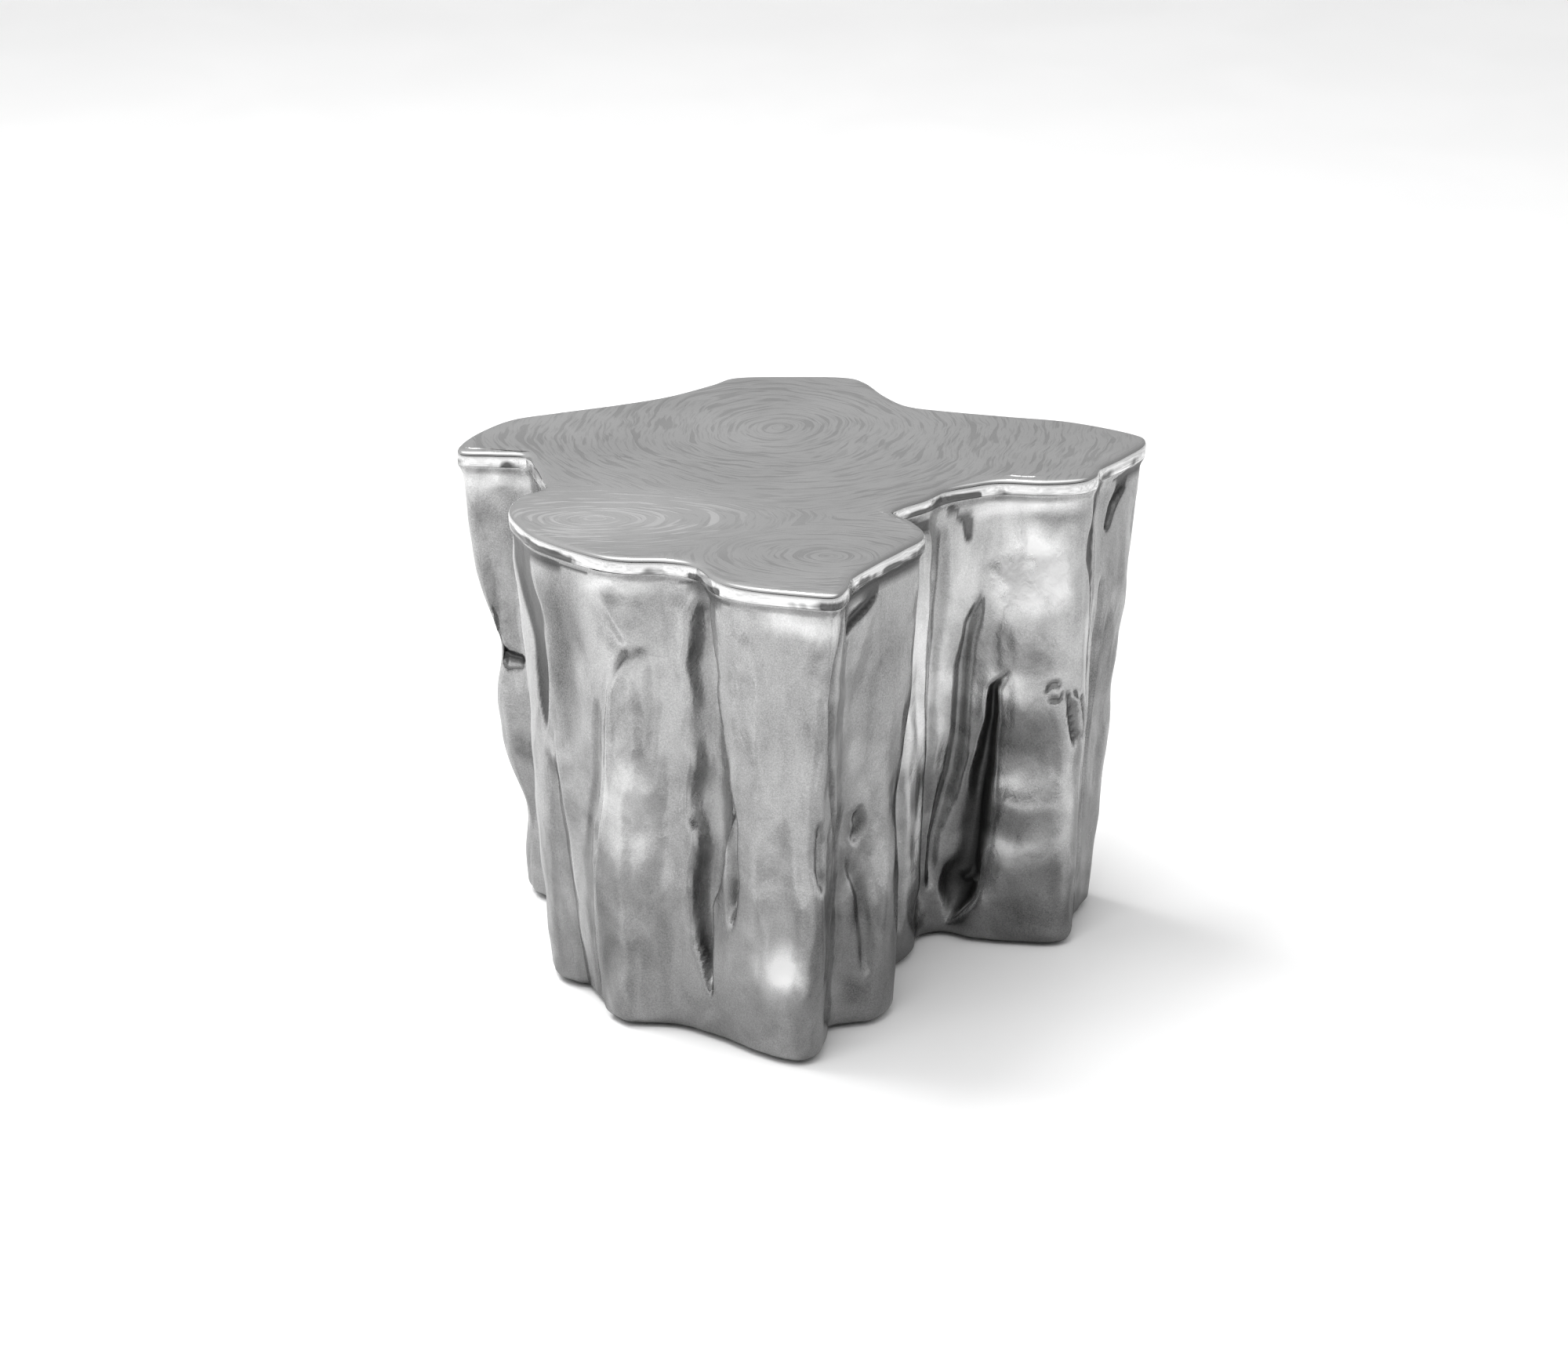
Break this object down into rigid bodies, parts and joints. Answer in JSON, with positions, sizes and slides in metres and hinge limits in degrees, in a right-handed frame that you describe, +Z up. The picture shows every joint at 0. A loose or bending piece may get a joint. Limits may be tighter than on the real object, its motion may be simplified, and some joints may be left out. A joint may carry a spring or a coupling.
{
  "type": "side table",
  "caption": "Cast-metal side table shaped like a tree stump, with a lobed bark wall, a slab top with growth rings and a rounded lip, and levelling feet.",
  "frame": {"origin": "on the floor, under the middle of the table's bounding box", "axes": "+X to the right root's side, the longest extent; -Y towards the front root; +Z up, the shortest extent"},
  "size_m": [0.619, 0.6066, 0.45],
  "materials": {
    "polished_cast_aluminium": "hand-polished casting",
    "satin_cast_aluminium": "satin casting with growth rings in relief",
    "raw_aluminium": "sawn",
    "black_plywood": "black-stained plywood",
    "zinc_steel": "zinc plated",
    "black_nylon": "moulded"
  },
  "bodies": {
    "table": {"bark_wall": "polished_cast_aluminium", "top_slab": "satin_cast_aluminium", "base_board": "black_plywood", "base_block_front": "raw_aluminium", "base_block_left": "raw_aluminium", "base_block_back_left": "raw_aluminium", "base_block_back_right": "raw_aluminium", "base_block_front_right": "raw_aluminium", "base_washer_front": "zinc_steel", "base_washer_left": "zinc_steel", "base_washer_back_left": "zinc_steel", "base_washer_back_right": "zinc_steel", "base_washer_front_right": "zinc_steel", "base_screw_front": "zinc_steel", "base_screw_left": "zinc_steel", "base_screw_back_left": "zinc_steel", "base_screw_back_right": "zinc_steel", "base_screw_front_right": "zinc_steel", "foot_nut_front": "zinc_steel", "foot_nut_left_front": "zinc_steel", "foot_nut_left": "zinc_steel", "foot_nut_back": "zinc_steel", "foot_nut_right": "zinc_steel"},
    "pad_front": {"foot_pad_front": "black_nylon"},
    "stud_front": {"foot_stud_front": "zinc_steel"},
    "pad_left_front": {"foot_pad_left_front": "black_nylon"},
    "stud_left_front": {"foot_stud_left_front": "zinc_steel"},
    "pad_left": {"foot_pad_left": "black_nylon"},
    "stud_left": {"foot_stud_left": "zinc_steel"},
    "pad_back": {"foot_pad_back": "black_nylon"},
    "stud_back": {"foot_stud_back": "zinc_steel"},
    "pad_right": {"foot_pad_right": "black_nylon"},
    "stud_right": {"foot_stud_right": "zinc_steel"}
  },
  "joints": [
    {"name": "foot_drop_front", "type": "slide", "parent": "table", "child": "pad_front", "axis": [0, 0, -1], "range_m": [0, 0.008]},
    {"name": "foot_turn_front", "type": "hinge", "parent": "pad_front", "child": "stud_front", "pos_m": [-0.01653, -0.20675, 0.02], "axis": [0, 0, 1], "range_deg": [0, 2304]},
    {"name": "foot_drop_left_front", "type": "slide", "parent": "table", "child": "pad_left_front", "axis": [0, 0, -1], "range_m": [0, 0.008]},
    {"name": "foot_turn_left_front", "type": "hinge", "parent": "pad_left_front", "child": "stud_left_front", "pos_m": [-0.17453, -0.07675, 0.02], "axis": [0, 0, 1], "range_deg": [0, 2304]},
    {"name": "foot_drop_left", "type": "slide", "parent": "table", "child": "pad_left", "axis": [0, 0, -1], "range_m": [0, 0.008]},
    {"name": "foot_turn_left", "type": "hinge", "parent": "pad_left", "child": "stud_left", "pos_m": [-0.20253, 0.13325, 0.02], "axis": [0, 0, 1], "range_deg": [0, 2304]},
    {"name": "foot_drop_back", "type": "slide", "parent": "table", "child": "pad_back", "axis": [0, 0, -1], "range_m": [0, 0.008]},
    {"name": "foot_turn_back", "type": "hinge", "parent": "pad_back", "child": "stud_back", "pos_m": [-0.01053, 0.23125, 0.02], "axis": [0, 0, 1], "range_deg": [0, 2304]},
    {"name": "foot_drop_right", "type": "slide", "parent": "table", "child": "pad_right", "axis": [0, 0, -1], "range_m": [0, 0.008]},
    {"name": "foot_turn_right", "type": "hinge", "parent": "pad_right", "child": "stud_right", "pos_m": [0.21147, 0.07125, 0.02], "axis": [0, 0, 1], "range_deg": [0, 2304]}
  ],
  "couplings": [
    {"joint": "foot_drop_front", "follows": "foot_turn_front", "m_per_rad": 0.00019894},
    {"joint": "foot_drop_left_front", "follows": "foot_turn_left_front", "m_per_rad": 0.00019894},
    {"joint": "foot_drop_left", "follows": "foot_turn_left", "m_per_rad": 0.00019894},
    {"joint": "foot_drop_back", "follows": "foot_turn_back", "m_per_rad": 0.00019894},
    {"joint": "foot_drop_right", "follows": "foot_turn_right", "m_per_rad": 0.00019894}
  ]
}
